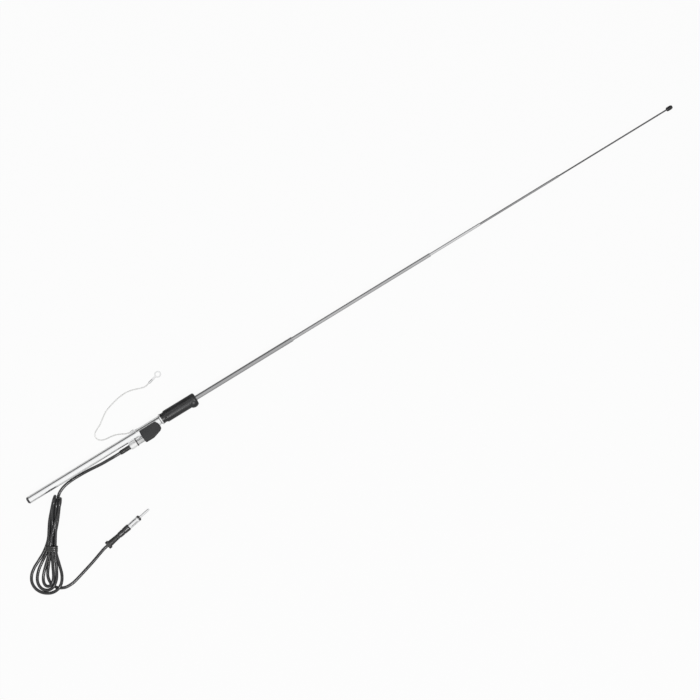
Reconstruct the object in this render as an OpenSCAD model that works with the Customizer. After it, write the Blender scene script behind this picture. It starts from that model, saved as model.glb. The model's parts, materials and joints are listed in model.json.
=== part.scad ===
// Car mast aerial: a five-section telescopic mast in a steel case tube, with a side feed for the
// coaxial lead, a black top insulator, an earth wire and the lead tied in a hank with its plug.
// It lies along +X on the ground plane z = 0; lengths are counted from the lower end of the case.

/* [Case] */
// Length of the case tube with the dome of its end plug
case_l = 180; // [150:1:260]
// Outer diameter of the case tube
case_d = 9.6; // [9:0.1:14]
// Wall of the case tube
case_wall = 0.8; // [0.6:0.1:1.2]
// Height of the end plug's dome
plug_dome = 3; // [1.5:0.1:4]
// Depth of the end plug inside the tube
plug_depth = 5.5; // [3:0.5:12]
// Drain hole in the end plug
drain_d = 2.5; // [1.5:0.1:4]
// Wall of the plastic liner in which the lowest section slides
liner_wall = 0.3; // [0.2:0.05:0.5]

/* [Upper sleeve] */
// Length of the sleeve that joins case and insulator
sleeve_l = 36; // [30:1:60]
// How far the case tube goes up into the sleeve
sleeve_lap = 13; // [8:1:20]
// Wall of the sleeve
sleeve_wall = 0.95; // [0.6:0.05:2]
// Outer diameter of the bright washer under the insulator
washer_d = 14.8; // [13:0.1:20]
// Thickness of the bright washer
washer_t = 2; // [1:0.1:4]

/* [Insulator] */
// Length of the insulator above the washer
ins_l = 52; // [40:1:90]
// Diameter of its barrel
ins_d = 16; // [14:0.2:24]
// Diameter of the spigot next to the washer
spigot_d = 13.8; // [12:0.1:14]
// Length of the spigot
spigot_l = 5.5; // [4:0.1:10]
// Round of the top edge
ins_round = 2.5; // [1:0.1:3.5]
// How far the one-sided lip stands out of the barrel
lip_out = 2.2; // [1:0.1:4]
// Distance from the lip's fullest point to the top end
lip_back = 5.6; // [5:0.1:9]
// Wall of the brass contact tube
contact_wall = 0.5; // [0.4:0.05:0.55]
// Length of the guide bore at the top end
guide_l = 8; // [5:0.5:15]

/* [Mast] */
// Outer diameters of the five sections, lowest first
mast_1_d = 6.2; // [5.9:0.05:6.4]
// Second section
mast_2_d = 4.8; // [4.6:0.05:5.1]
// Third section
mast_3_d = 3.7; // [3.5:0.05:3.8]
// Fourth section
mast_4_d = 2.9; // [2.7:0.05:2.95]
// Top rod
mast_5_d = 2; // [1.6:0.05:2.1]
// Wall of the lowest section
wall_1 = 0.35; // [0.3:0.01:0.4]
// Wall of the second section
wall_2 = 0.3; // [0.25:0.01:0.35]
// Wall of the third section
wall_3 = 0.25; // [0.2:0.01:0.28]
// Wall of the fourth section
wall_4 = 0.25; // [0.2:0.01:0.3]
// Whole length of the lowest section with its shoe
mast_l = 245; // [236:1:247]
// Each section is this much shorter than the one around it
nest_step = 10; // [9.5:0.5:14]
// Drawn-out length of the lowest section above the insulator
out_1 = 147; // [20:1:220]
// Drawn-out length of the second section
out_2 = 210; // [20:1:215]
// Drawn-out length of the third section
out_3 = 76; // [20:1:205]
// Drawn-out length of the fourth section
out_4 = 120; // [20:1:195]
// Drawn-out length of the top rod below its bead
out_5 = 164; // [20:1:185]
// Length of a guide shoe below its tube
shoe_l = 6; // [4:0.5:8]
// Length of the rolled-in mouth of a tube
mouth_l = 2; // [1.5:0.1:4]
// Diameter of the tip bead
bead_d = 5.6; // [4.5:0.1:9]
// Length of the tip bead
bead_l = 9; // [7:0.1:14]

/* [Side feed] */
// Diameter of the socket's neck
neck_d = 7.6; // [6.8:0.1:9]
// Distance from the top of the case tube back to the neck
neck_back = 17.6; // [15:0.1:25]
// Diameter of the union nut
nut_d = 9; // [8:0.1:12]
// Length of the union nut
nut_l = 10; // [8:0.5:14]
// Diameter of the dark ring between nut and neck
ring_d = 9.3; // [8.6:0.1:13]
// Thickness of the dark ring
ring_t = 1.4; // [0.8:0.1:3]
// Diameter of the rubber boot on the lead
boot_d = 6.4; // [5.6:0.1:6.6]
// Length of the boot outside the nut
boot_l = 15.5; // [10:0.5:24]
// Length of the black feed cover
cover_l = 27.4; // [24:0.1:32]
// Wall of the feed cover
cover_wall = 1.8; // [1.2:0.1:2]
// How far the cover reaches past the middle of the sleeve
cover_over = 1.9; // [0:0.1:3]

/* [Lead and plug] */
// Outer diameter of the coaxial lead
lead_d = 4.1; // [3.9:0.1:4.2]
// Outer diameter of the earth wire
wire_d = 1.5; // [1.2:0.1:1.55]
// Height of the tied hank
hank_h = 12.6; // [10:0.2:18]
// Width of the flange behind the plug's grip
grip_flange_w = 11; // [10:0.1:14]
// Diameter of the grip behind its flange
grip_d = 8.8; // [7.8:0.1:9.6]
// Length of the grip with its flange
grip_l = 18.9; // [14:0.1:26]
// Diameter of the plug's body at its front
body_d = 8.6; // [8.3:0.1:8.8]
// Length of the plug's body
body_l = 18.6; // [12:0.1:26]
// Outer diameter of the slotted plug sleeve
plug_d = 7.2; // [6.8:0.1:7.4]
// Length of the slotted plug sleeve
plug_l = 15.8; // [12:0.1:24]
// Diameter of the plug's centre pin
pin_d = 3.2; // [2.6:0.1:3.4]
// Diameter of the pin's stem inside the plug
pin_stem_d = 2.2; // [1.4:0.1:2.4]
// Length of the pin in front of the plug
pin_out = 16; // [8:0.5:24]
// Bore of the ring terminal
eye_d = 5.3; // [3.2:0.1:5.6]
// Outer diameter of the ring terminal
eye_out_d = 9; // [8:0.1:12]
// Sheet thickness of the ring terminal
eye_t = 0.8; // [0.6:0.1:1]

/* [Hidden] */
$fn = 48;

// Clearances: between pieces that sit in each other, and between pieces that slide
seat_gap = 0.05;
run_gap = 0.05;
face_gap = 0.2;

// Places along the aerial, from the lower end of the case
sleeve_at = case_l - sleeve_lap;
washer_at = sleeve_at + sleeve_l;
ins_at = washer_at + washer_t;
ins_top = ins_at + ins_l;
shown_l = 245;
out = [out_1, out_2, out_3, out_4, out_5] * mast_l / shown_l;
function top_of(k) = k < 0 ? ins_top : top_of(k - 1) + out[k];
bead_at = top_of(4);
overall_l = bead_at + bead_l;

// Radii of the nested tubes round the mast
case_r = case_d / 2;
case_bore_r = case_r - case_wall;
liner_r = case_bore_r - seat_gap;
slide_r = liner_r - liner_wall;
sleeve_bore_r = case_r + seat_gap;
sleeve_r = sleeve_bore_r + sleeve_wall;
tail_at = case_l + face_gap;
contact_r = slide_r + contact_wall;
tail_bore_r = contact_r + seat_gap;
tail_r = sleeve_bore_r - seat_gap;
guide_at = ins_top - guide_l;
ins_r = ins_d / 2;

// Mast sections, lowest first: outer diameter, wall, whole length
mast_ds = [mast_1_d, mast_2_d, mast_3_d, mast_4_d, mast_5_d];
walls = [wall_1, wall_2, wall_3, wall_4, mast_5_d / 2];
mast_ls = [for (k = [0:4]) mast_l - k * nest_step];
function bore_r(k) = mast_ds[k] / 2 - walls[k];
function mouth_r(k) = mast_ds[k + 1] / 2 + run_gap;
function shoe_r(k) = (k == 0 ? slide_r : bore_r(k - 1)) - run_gap;
function low_end(k) = top_of(k) - mast_ls[k];
stem_l = 3;
stem_d = 1.2;
crimp_back = 5;
crimp_deep = 0.1;
mouth_taper = 0.25;

// Side feed: its axis lies beside the case tube, clear of the sleeve
feed_y = -(sleeve_r + neck_d / 2 + 0.1);
neck_r = neck_d / 2;
neck_at = case_l - neck_back;
stub_r = neck_r - 0.8;
stub_l = 7;
bead_r = stub_r - 0.8;
core_d = 1.6;
cover_at = sleeve_at + 4.3;
cover_out = -feed_y + neck_r + 0.6 + cover_wall;
cover_slope = 4.8;
pin_x = cover_at + cover_l * 0.38;
saddle_at = cover_at + cover_wall + 2;
saddle_l = pin_x + 3.6 - saddle_at;
saddle_h = neck_d + 1.4;
saddle_out = bead_r + 0.9;

// Earth tag: a wire barrel with a tongue that is spot-welded to the sleeve
tag_t = 0.6;
tag_l = 5;
tag_tongue = 6;
tag_d = 2.6;
tag_y = sleeve_r + tag_t;

// Row frame: middle of the length, middle of the width, ground under the insulator
axis_y = (cover_out - ins_r) / 2;
axis_z = ins_r;

// Routes of the lead and the earth wire: the lead's from the boot's end, the wire's from its tag.
// Heights are above the ground
lead_route = [
    [7.5, 0, 8], [0, 0, 8], [-7, 0, 7.9], [-17, 0.25, 7], [-28, 0.55, 5.4],
    [-39, 1.55, 4], [-49.5, 2.45, 3], [-60, 2.85, 2.4], [-71, 2.85, 2.2], [-82, 1.75, 2.1],
    [-90, -0.55, 2.1], [-96, -3.85, 2.1], [-100.5, -8.75, 2.1]
];
tail_route = [
    [-163, -107.25, 3.4], [-157, -109.65, 2.6], [-150, -111.85, 2.2], [-142, -112.25, 2.1],
    [-134, -110.65, 2.1], [-119.5, -106.65, 2.2], [-104, -102.15, 2.8], [-91, -97.85, 3.8],
    [-83, -95.35, 4.4], [-72, -93.35, 4.5]
];
wire_route = [
    [3.5, 0, 8], [-0.9, 0, 8], [-6.7, 1.65, 6.9], [-12.7, 4.65, 4.6], [-19.7, 7.35, 2.5],
    [-25.7, 8.45, 1.4], [-31.7, 9.05, 1], [-37.7, 10.65, 0.9], [-41.7, 14.15, 0.9], [-42.9, 18.65, 0.9],
    [-41.1, 22.65, 0.9], [-36.2, 25.85, 0.9], [-29.7, 28.85, 0.9], [-21.7, 34.65, 0.9], [-13.1, 40.05, 0.9],
    [-1.7, 43.85, 0.9], [9.3, 46.25, 0.9], [22.3, 47.05, 0.9], [33.3, 44.65, 0.9], [40.8, 41.95, 1.1],
    [45.8, 40.75, 1.4], [49.42, 41.08, 1.5], [52.33, 41.81, 1.5], [57.57, 43.11, 1.5]
];
lead_sides = 10;
wire_sides = 8;

// Hank: middles and radii of its head, shoulder, tied waist and foot, along its own length
hank_at = [-102, -0.25, 0];
hank_turn = -121.5;
hank_head = [6.5, 6];
hank_head_r = 4.7;
hank_shoulder = [27, 1];
hank_waist = [71, -2.2];
hank_neck_r = 6.7;
hank_foot = [107, -9.2];
hank_foot_r = 22.3;
tie_l = 7.5;
tie_t = 0.8;
tie_side = 1.9;

// Plug: the middle of its flange, its direction, its height, and how it dips to lie on its body
plug_at = [-77, -94.25];
plug_turn = 10;
plug_z = 4.52;
plug_tilt = 0.3;
flange_t = 3.8;
grip_front_d = 6.8;
rib_gap = 2.1;
rib_deep = 0.35;
sleeve_t = 0.45;
core_t = 2.6;
slots = 6;
slot_w = 0.7;

// Ring terminal: where its barrel begins and the way it points
eye_at = [53.3, 42.05];
eye_turn = 14;
barrel_l = 12;
barrel_r = wire_d / 2 + 0.05 + 0.7;
eye_reach = 6.2;

module on_axis(x) translate([x, 0, 0]) rotate([0, 90, 0]) children();

module place() translate([-overall_l / 2, axis_y, axis_z]) children();

module from_boot() {
    boot_end = neck_at - ring_t - nut_l - boot_l;
    translate([boot_end - overall_l / 2, axis_y + feed_y, 0]) children();
}

module from_tag() translate([sleeve_at - tag_l - 0.8 - overall_l / 2, axis_y + tag_y, 0]) children();

module pipe(x, length, r_out, r_in) {
    on_axis(x) difference() {
        cylinder(h = length, r = r_out);
        translate([0, 0, -1]) cylinder(h = length + 2, r = r_in);
    }
}

module rod(x, length, r) on_axis(x) cylinder(h = length, r = r);

// Half section of a round bar with rounded ends, as exact arcs
module round_bar_section(length, r, round_low, round_top) {
    difference() {
        square([r, length]);
        translate([r - round_low, -1]) square([round_low + 1, round_low + 1]);
        translate([r - round_top, length - round_top]) square([round_top + 1, round_top + 1]);
    }
    intersection() {
        square([r, length]);
        union() {
            translate([r - round_low, round_low]) circle(r = round_low);
            translate([r - round_top, length - round_top]) circle(r = round_top);
        }
    }
}

module end_plug() {
    color([0.12, 0.12, 0.13]) place() difference() {
        union() {
            on_axis(0) rotate_extrude() polygon([
                [0, 0], [case_r - 2.6, 0], [case_r - 1, plug_dome * 0.2], [case_r - 0.2, plug_dome * 0.6],
                [case_r, plug_dome], [0, plug_dome]
            ]);
            rod(plug_dome, plug_depth, liner_r);
        }
        rod(-1, plug_dome + plug_depth + 2, drain_d / 2);
    }
}

module case_tube() {
    color([0.84, 0.85, 0.86]) place()
        pipe(plug_dome, case_l - plug_dome, case_r, case_bore_r);
}

module liner() {
    from = plug_dome + plug_depth + face_gap;
    color([0.9, 0.9, 0.88]) place() pipe(from, case_l - from, liner_r, slide_r);
}

module upper_sleeve() {
    color([0.86, 0.87, 0.88]) place() difference() {
        on_axis(sleeve_at) rotate_extrude() polygon([
            [sleeve_bore_r, 0], [sleeve_r - 0.5, 0], [sleeve_r, 1], [sleeve_r, sleeve_l],
            [sleeve_bore_r, sleeve_l]
        ]);
        translate([pin_x, 0, 0]) rotate([90, 0, 0]) cylinder(h = sleeve_r + 2, r = core_d);
    }
}

module seat_washer() {
    color([0.9, 0.91, 0.92]) place()
        on_axis(washer_at) rotate_extrude() polygon([
            [sleeve_bore_r, 0], [washer_d / 2 - 0.4, 0], [washer_d / 2, 0.4],
            [washer_d / 2, washer_t - 0.3], [washer_d / 2 - 0.3, washer_t], [sleeve_bore_r, washer_t]
        ]);
}

// The lip is an eccentric rounded disc, so it fades into the barrel on the other side
module lip() {
    length = lip_back * 2.4;
    translate([0, -lip_out, 0]) on_axis(ins_top - lip_back * 2.3) rotate_extrude() difference() {
        intersection() {
            translate([0, length * 0.54]) circle(r = ins_r);
            square([ins_r + 1, length]);
        }
        translate([0, lip_back * 2.3 - 0.4]) square([ins_r + 1, length]);
    }
}

module insulator() {
    notch_w = 4.2;
    notch_l = 3.2;
    groove_r = spigot_d / 2 - 0.6;
    color([0.13, 0.13, 0.14]) place() difference() {
        union() {
            on_axis(ins_at + spigot_l) rotate_extrude()
                round_bar_section(ins_l - spigot_l, ins_r, 0.8, ins_round);
            rod(ins_at, spigot_l + 1, spigot_d / 2);
            rod(tail_at, ins_at - tail_at + 1, tail_r);
            lip();
        }
        on_axis(ins_at + spigot_l * 0.4) difference() {
            cylinder(h = 0.9, r = spigot_d / 2 + 1);
            translate([0, 0, -1]) cylinder(h = 3, r = groove_r);
        }
        translate([ins_at + spigot_l - notch_l / 2, -notch_w / 2, spigot_d / 2 - 1.1])
            cube([notch_l, notch_w, ins_r]);
        rod(tail_at - 1, guide_at - tail_at + 1, tail_bore_r);
        rod(guide_at - 1, guide_l + 2, mast_1_d / 2 + run_gap);
        translate([pin_x, 0, 0]) rotate([90, 0, 0]) cylinder(h = tail_r + 2, r = core_d / 2 + seat_gap);
    }
}

module contact_tube() {
    color([0.8, 0.66, 0.34]) place()
        pipe(tail_at, guide_at - tail_at - seat_gap, contact_r, slide_r);
}

// The lead's inner conductor goes on as a bent pin that touches the contact tube
module feed_pin() {
    core_from = neck_at - stub_l + 1;
    color([0.82, 0.7, 0.4]) place() {
        translate([0, feed_y, 0]) rod(core_from, pin_x - core_from, core_d / 2);
        translate([pin_x, feed_y, 0]) sphere(r = core_d / 2);
        translate([pin_x, -contact_r - seat_gap, 0]) rotate([90, 0, 0])
            cylinder(h = -feed_y - contact_r - seat_gap, r = core_d / 2);
    }
}

module feed_bead() {
    color([0.93, 0.93, 0.9]) place() translate([0, feed_y, 0])
        pipe(neck_at - stub_l + 2, pin_x - core_d - 2 - (neck_at - stub_l + 2), bead_r - seat_gap,
            core_d / 2 + seat_gap);
}

module feed_socket() {
    color([0.83, 0.84, 0.85]) place() difference() {
        union() {
            translate([0, feed_y, 0]) {
                rod(neck_at - stub_l, stub_l + 1, stub_r);
                rod(neck_at, saddle_at - neck_at + 1, neck_r);
            }
            translate([saddle_at, feed_y - saddle_out, -saddle_h / 2])
                cube([saddle_l, saddle_out - feed_y - case_r * 0.5, saddle_h]);
        }
        rod(saddle_at - 1, saddle_l + 2, sleeve_r + seat_gap);
        translate([0, feed_y, 0]) rod(neck_at - stub_l - 1, pin_x + 3 - (neck_at - stub_l - 1), bead_r);
        translate([pin_x, 0, 0]) rotate([90, 0, 0]) cylinder(h = -feed_y, r = core_d);
    }
}

// Points of an outline with a rounded corner of its own radius at each point
function turn(a) = a > 180 ? a - 360 : a < -180 ? a + 360 : a;
function corner(from, at, to, r, steps = 6) = let (
    u = unit(from - at),
    v = unit(to - at),
    half = acos(u * v) / 2,
    middle = at + unit(u + v) * r / sin(half),
    start = at + u * r / tan(half) - middle,
    end = at + v * r / tan(half) - middle,
    first = atan2(start[1], start[0]),
    sweep = turn(atan2(end[1], end[0]) - first)
) [for (i = [0:steps]) middle + r * [cos(first + sweep * i / steps), sin(first + sweep * i / steps)]];
function rounded(ps, rs) = let (n = len(ps))
    [for (i = [0:n - 1]) each corner(ps[(i + n - 1) % n], ps[i], ps[(i + 1) % n], rs[i])];

// Plan of the cover as seen from above, with its sloping outer corner
cover_plan = [
    [0.6, cover_over], [cover_l - 2.6, cover_over], [cover_l, -4], [cover_l - 0.9, cover_slope + 1 - cover_out],
    [cover_l - 3.4, cover_slope - 1 - cover_out], [cover_l * 0.44, -cover_out], [1, -cover_out], [0, -5]
];

module feed_cover() {
    h = 2 * ins_r;
    side = [[0, -h / 2], [cover_l, -h / 2], [cover_l, h / 2], [0, h / 2]];
    end = [[-cover_out, -h / 2], [cover_over, -h / 2], [cover_over, h / 2], [-cover_out, h / 2]];
    color([0.12, 0.12, 0.13]) place() difference() {
        translate([cover_at, 0, 0]) intersection() {
            translate([0, 0, -h / 2]) linear_extrude(h)
                polygon(rounded(cover_plan, [1.2, 2, 5, 2, 2, 8, 1.5, 20]));
            rotate([90, 0, 0]) linear_extrude(4 * cover_out, center = true) polygon(rounded(side, [2, 2, 2, 2]));
            rotate([90, 0, 90]) linear_extrude(cover_l) polygon(rounded(end, [3.2, 0.8, 0.8, 3.2]));
        }
        translate([cover_at, 0, cover_wall - h / 2]) linear_extrude(h - 2 * cover_wall) polygon([
            [cover_wall, cover_over + 1], [cover_l - cover_wall, cover_over + 1],
            [cover_l - cover_wall, cover_slope + 2 - cover_out], [cover_l * 0.42, cover_wall - cover_out],
            [cover_wall, cover_wall - cover_out]
        ]);
        rod(cover_at - 1, cover_l + 2, sleeve_r + seat_gap);
        translate([0, feed_y, 0]) rod(cover_at - 1, cover_wall + 4, neck_r + seat_gap);
        translate([cover_at - 1, feed_y, -1.8]) cube([cover_wall + 4, -feed_y, 3.6]);
    }
}

module ring_gasket() {
    color([0.1, 0.1, 0.1]) place() translate([0, feed_y, 0])
        pipe(neck_at - ring_t, ring_t, ring_d / 2, stub_r + seat_gap);
}

module union_nut() {
    nut_at = neck_at - ring_t - nut_l;
    color([0.93, 0.94, 0.95]) place() translate([0, feed_y, 0]) difference() {
        on_axis(nut_at) rotate_extrude() polygon([
            [0, 0], [nut_d / 2 - 0.9, 0], [nut_d / 2, 0.9], [nut_d / 2, nut_l - 0.5],
            [nut_d / 2 - 0.5, nut_l], [0, nut_l]
        ]);
        rod(nut_at - 1, 3.2, boot_d / 2 + seat_gap);
        rod(nut_at - 1, nut_l + 2, bead_r);
        rod(neck_at - stub_l - 0.2, stub_l, stub_r + seat_gap);
    }
}

module cable_boot() {
    boot_at = neck_at - ring_t - nut_l - boot_l;
    length = boot_l + 2;
    color([0.11, 0.11, 0.12]) place() translate([0, feed_y, 0]) difference() {
        on_axis(boot_at) rotate_extrude() polygon([
            [0, 0], [lead_d / 2 + 0.5, 0], [boot_d / 2 - 0.1, 2.6], [boot_d / 2, 4], [boot_d / 2, length],
            [0, length]
        ]);
        rod(boot_at - 1, 8.5, lead_d / 2 + seat_gap);
        rod(boot_at - 1, length + 2, core_d / 2 + 0.2);
    }
}

module earth_tag() {
    color([0.8, 0.8, 0.78]) place() difference() {
        union() {
            translate([0, tag_y, 0]) rod(sleeve_at - tag_l - 0.8, tag_l, tag_d / 2);
            translate([sleeve_at - 2, sleeve_r, -1.6]) cube([tag_tongue, tag_t, 3.2]);
        }
        translate([0, tag_y, 0]) rod(sleeve_at - tag_l - 2, tag_l, wire_d / 2 + seat_gap);
    }
}

// A section of the mast: thin tube, rolled-in mouth, and a crimp line below the mouth
module mast_tube(k) {
    r = mast_ds[k] / 2;
    bore = bore_r(k);
    mouth = mouth_r(k);
    length = mast_ls[k] - shoe_l;
    on_axis(top_of(k) - length) rotate_extrude() polygon([
        [bore, 0], [r, 0], [r, length - crimp_back - 0.5], [r - crimp_deep, length - crimp_back],
        [r, length - crimp_back + 0.5], [r, length - 1], [r - mouth_taper, length], [mouth, length],
        [mouth, length - mouth_l], [bore, length - mouth_l]
    ]);
}

// The shoe at the foot of a section: it guides the section and stops it at the mouth above
module shoe(k) {
    r = shoe_r(k);
    plug_r = bore_r(k) - seat_gap / 2;
    low = low_end(k);
    difference() {
        union() {
            on_axis(low) rotate_extrude() polygon([
                [0, 0], [r - 0.3, 0], [r, 0.6], [r, shoe_l - 0.3], [r - 0.15, shoe_l], [0, shoe_l]
            ]);
            rod(low + shoe_l - 0.5, stem_l + 0.5, plug_r);
        }
        rod(low - 1, shoe_l, r * 0.5);
        translate([low - 1, -0.15, -r - 1]) cube([shoe_l - 1, 0.3, 2 * r + 2]);
        translate([low - 1, -r - 1, -0.15]) cube([shoe_l - 1, 2 * r + 2, 0.3]);
    }
}

module mast_1() color([0.78, 0.79, 0.8]) place() mast_tube(0);
module mast_2() color([0.8, 0.81, 0.82]) place() mast_tube(1);
module mast_3() color([0.78, 0.79, 0.8]) place() mast_tube(2);
module mast_4() color([0.8, 0.81, 0.82]) place() mast_tube(3);
module shoe_1() color([0.82, 0.68, 0.36]) place() shoe(0);
module shoe_2() color([0.82, 0.68, 0.36]) place() shoe(1);
module shoe_3() color([0.82, 0.68, 0.36]) place() shoe(2);
module shoe_4() color([0.82, 0.68, 0.36]) place() shoe(3);

module mast_5() {
    color([0.8, 0.81, 0.82]) place() {
        rod(low_end(4) + shoe_l, mast_ls[4] - shoe_l + bead_l * 0.6, mast_5_d / 2);
        rod(low_end(4) + shoe_l - stem_l, stem_l + 0.5, stem_d / 2);
    }
}

module shoe_5() {
    low = low_end(4);
    color([0.82, 0.68, 0.36]) place() difference() {
        on_axis(low) rotate_extrude() polygon([
            [0, 0], [shoe_r(4) - 0.2, 0], [shoe_r(4), 0.5], [shoe_r(4), shoe_l - 0.2],
            [shoe_r(4) - 0.1, shoe_l], [0, shoe_l]
        ]);
        rod(low - 1, shoe_l + 2, stem_d / 2 + seat_gap / 2);
    }
}

module tip_bead() {
    color([0.1, 0.1, 0.11]) place() difference() {
        on_axis(bead_at) rotate_extrude() round_bar_section(bead_l, bead_d / 2, 0.9, 2);
        rod(bead_at - 1, bead_l * 0.6 + 1 + seat_gap, mast_5_d / 2 + seat_gap / 2);
    }
}

// A plain cord: rings of points swept along a route, joined into one closed skin
function unit(v) = v / norm(v);
function tangent(p, i) = unit(p[min(i + 1, len(p) - 1)] - p[max(i - 1, 0)]);
function ring(p, i, r, n) = let (
    t = tangent(p, i),
    side = unit(cross([0, 0, 1], t)),
    up = cross(t, side)
) [for (j = [0:n - 1]) p[i] + r * (cos(360 * j / n) * side + sin(360 * j / n) * up)];

module cord(route, d, n) {
    last = len(route) - 1;
    points = [for (i = [0:last]) each ring(route, i, d / 2, n)];
    skin = [for (i = [0:last - 1], j = [0:n - 1]) let (a = i * n + j, b = i * n + (j + 1) % n)
        each [[a, a + n, b], [b, a + n, b + n]]];
    low_cap = [for (j = [0:n - 1]) j];
    far_cap = [for (j = [n - 1:-1:0]) last * n + j];
    polyhedron(points = points, faces = concat([low_cap, far_cap], skin));
}

module coax_lead() color([0.14, 0.14, 0.15]) from_boot() cord(lead_route, lead_d, lead_sides);
module coax_tail() color([0.14, 0.14, 0.15]) from_boot() cord(tail_route, lead_d, lead_sides);
module earth_wire() color([0.72, 0.72, 0.72]) from_tag() cord(wire_route, wire_d, wire_sides);

module in_hank() from_boot() translate(hank_at) rotate([0, 0, hank_turn]) children();

// Block round the bundle, as long as the tie and wider than the bundle by a margin on each side
module tie_block(side, skin) {
    w = 2 * (hank_neck_r + side);
    translate([hank_waist[0] - tie_l / 2, hank_waist[1] - w / 2, tie_t - skin])
        cube([tie_l, w, hank_h - 2 * tie_t + 2 * skin]);
}

module hank_disc(at, r) translate(at) circle(r = r, $fn = 32);

module coax_hank() {
    color([0.13, 0.13, 0.14]) in_hank() difference() {
        linear_extrude(hank_h) {
            hull() {
                hank_disc(hank_head, hank_head_r);
                hank_disc(hank_shoulder, hank_neck_r);
            }
            hull() {
                hank_disc(hank_shoulder, hank_neck_r);
                hank_disc(hank_waist, hank_neck_r);
            }
            hull() {
                hank_disc(hank_waist, hank_neck_r);
                hank_disc(hank_foot, hank_foot_r);
            }
        }
        difference() {
            tie_block(tie_side + 2, tie_t + 1);
            tie_block(0, 0);
        }
    }
}

module hank_tie() {
    color([0.1, 0.1, 0.1]) in_hank() difference() {
        tie_block(tie_side, tie_t);
        w = 2 * (hank_neck_r + seat_gap);
        translate([hank_waist[0] - tie_l, hank_waist[1] - w / 2, tie_t - seat_gap])
            cube([2 * tie_l, w, hank_h - 2 * tie_t + 2 * seat_gap]);
    }
}

module in_plug() from_boot() translate([plug_at[0], plug_at[1], plug_z]) rotate([0, plug_tilt, plug_turn]) children();

module plug_grip() {
    back_r = grip_d / 2;
    front_r = grip_front_d / 2;
    ribs = floor((grip_l - flange_t - 2) / rib_gap);
    color([0.12, 0.12, 0.12]) in_plug() difference() {
        union() {
            intersection() {
                rod(0, flange_t, grip_flange_w / 2);
                translate([-1, -grip_flange_w, -plug_z]) cube([flange_t + 2, 2 * grip_flange_w, 2 * plug_z]);
            }
            on_axis(0) cylinder(h = grip_l, r1 = back_r, r2 = front_r);
        }
        for (i = [1:ribs]) {
            x = flange_t + i * rib_gap - 0.6;
            r = back_r + (front_r - back_r) * x / grip_l - rib_deep;
            on_axis(x) difference() {
                cylinder(h = 0.7, r = back_r + 1);
                translate([0, 0, -1]) cylinder(h = 3, r = r);
            }
        }
        rod(-1, 7, lead_d / 2 + 3 * seat_gap);
    }
}

module plug_body() {
    color([0.12, 0.12, 0.13]) in_plug() difference() {
        on_axis(grip_l) rotate_extrude() polygon([
            [0, 0], [3.2, 0], [3.2, 0.8], [3.8, 1.4], [body_d / 2, body_l * 0.8],
            [body_d / 2, body_l - 1], [body_d / 2 - 0.6, body_l], [0, body_l]
        ]);
        rod(grip_l + body_l - 3, 4, plug_d / 2 + seat_gap);
        rod(grip_l + body_l - 8, 8, pin_stem_d / 2 + seat_gap);
    }
}

module plug_sleeve() {
    from = grip_l + body_l - 3 + seat_gap;
    length = plug_l + 3 - seat_gap;
    r = plug_d / 2;
    color([0.88, 0.89, 0.9]) in_plug() difference() {
        on_axis(from) rotate_extrude() polygon([
            [r - sleeve_t, 0], [r, 0], [r, 5], [r + 0.25, 6 + plug_l * 0.4], [r, length - 2.4],
            [r + 0.3, length - 1.8], [r + 0.3, length - 0.3], [r, length], [r - sleeve_t, length]
        ]);
        for (i = [0:slots - 1]) on_axis(from) rotate([0, 0, (i + 0.5) * 360 / slots])
            translate([r - sleeve_t - 1, -slot_w / 2, 6]) cube([3, slot_w, length - 9]);
    }
}

module plug_core() {
    nose = grip_l + body_l + plug_l;
    color([0.1, 0.1, 0.1]) in_plug() difference() {
        union() {
            rod(grip_l + body_l - 3 + seat_gap, plug_l + 3, plug_d / 2 - sleeve_t - seat_gap);
            on_axis(nose + seat_gap) rotate_extrude() polygon([
                [0, 0], [plug_d / 2 + 0.3, 0], [plug_d / 2 + 0.3, core_t * 0.5],
                [plug_d / 2 - 0.6, core_t], [0, core_t]
            ]);
        }
        rod(grip_l + body_l - 4, plug_l + core_t + 6, pin_stem_d / 2 + seat_gap);
    }
}

module plug_pin() {
    from = grip_l + body_l - 8 + seat_gap;
    stem = grip_l + body_l + plug_l + core_t + 2 * seat_gap - from;
    r = pin_d / 2;
    color([0.88, 0.89, 0.9]) in_plug() on_axis(from) rotate_extrude() polygon([
        [0, 0], [pin_stem_d / 2, 0], [pin_stem_d / 2, stem], [r, stem], [r, stem + pin_out - 2],
        [r * 0.8, stem + pin_out - 0.8], [r * 0.4, stem + pin_out], [0, stem + pin_out]
    ]);
}

module ring_terminal() {
    barrel_z = barrel_r;
    color([0.85, 0.86, 0.87]) from_tag() translate([eye_at[0], eye_at[1], 0]) rotate([0, 0, eye_turn]) {
        difference() {
            union() {
                translate([0, 0, barrel_z]) rod(0, barrel_l * 0.55, barrel_r);
                translate([0, -barrel_r, 0]) cube([barrel_l, 2 * barrel_r, eye_t]);
                translate([barrel_l + eye_reach - 2, 0, 0]) cylinder(h = eye_t, r = eye_out_d / 2);
            }
            translate([0, 0, barrel_z]) rod(-1, barrel_l * 0.55 - 1, wire_d / 2 + 0.05);
            translate([barrel_l + eye_reach - 2, 0, -1]) cylinder(h = eye_t + 2, r = eye_d / 2);
        }
    }
}

end_plug();
case_tube();
liner();
upper_sleeve();
seat_washer();
insulator();
contact_tube();
feed_pin();
feed_bead();
feed_socket();
feed_cover();
ring_gasket();
union_nut();
cable_boot();
earth_tag();
mast_1();
shoe_1();
mast_2();
shoe_2();
mast_3();
shoe_3();
mast_4();
shoe_4();
mast_5();
shoe_5();
tip_bead();
coax_lead();
coax_hank();
coax_tail();
hank_tie();
plug_grip();
plug_body();
plug_sleeve();
plug_core();
plug_pin();
earth_wire();
ring_terminal();
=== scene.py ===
# Car mast aerial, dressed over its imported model: one section for each piece or group of like pieces,
# with the two cords first. Lengths are written in millimetres, those of the lamps in metres.
import json
import math

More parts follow.
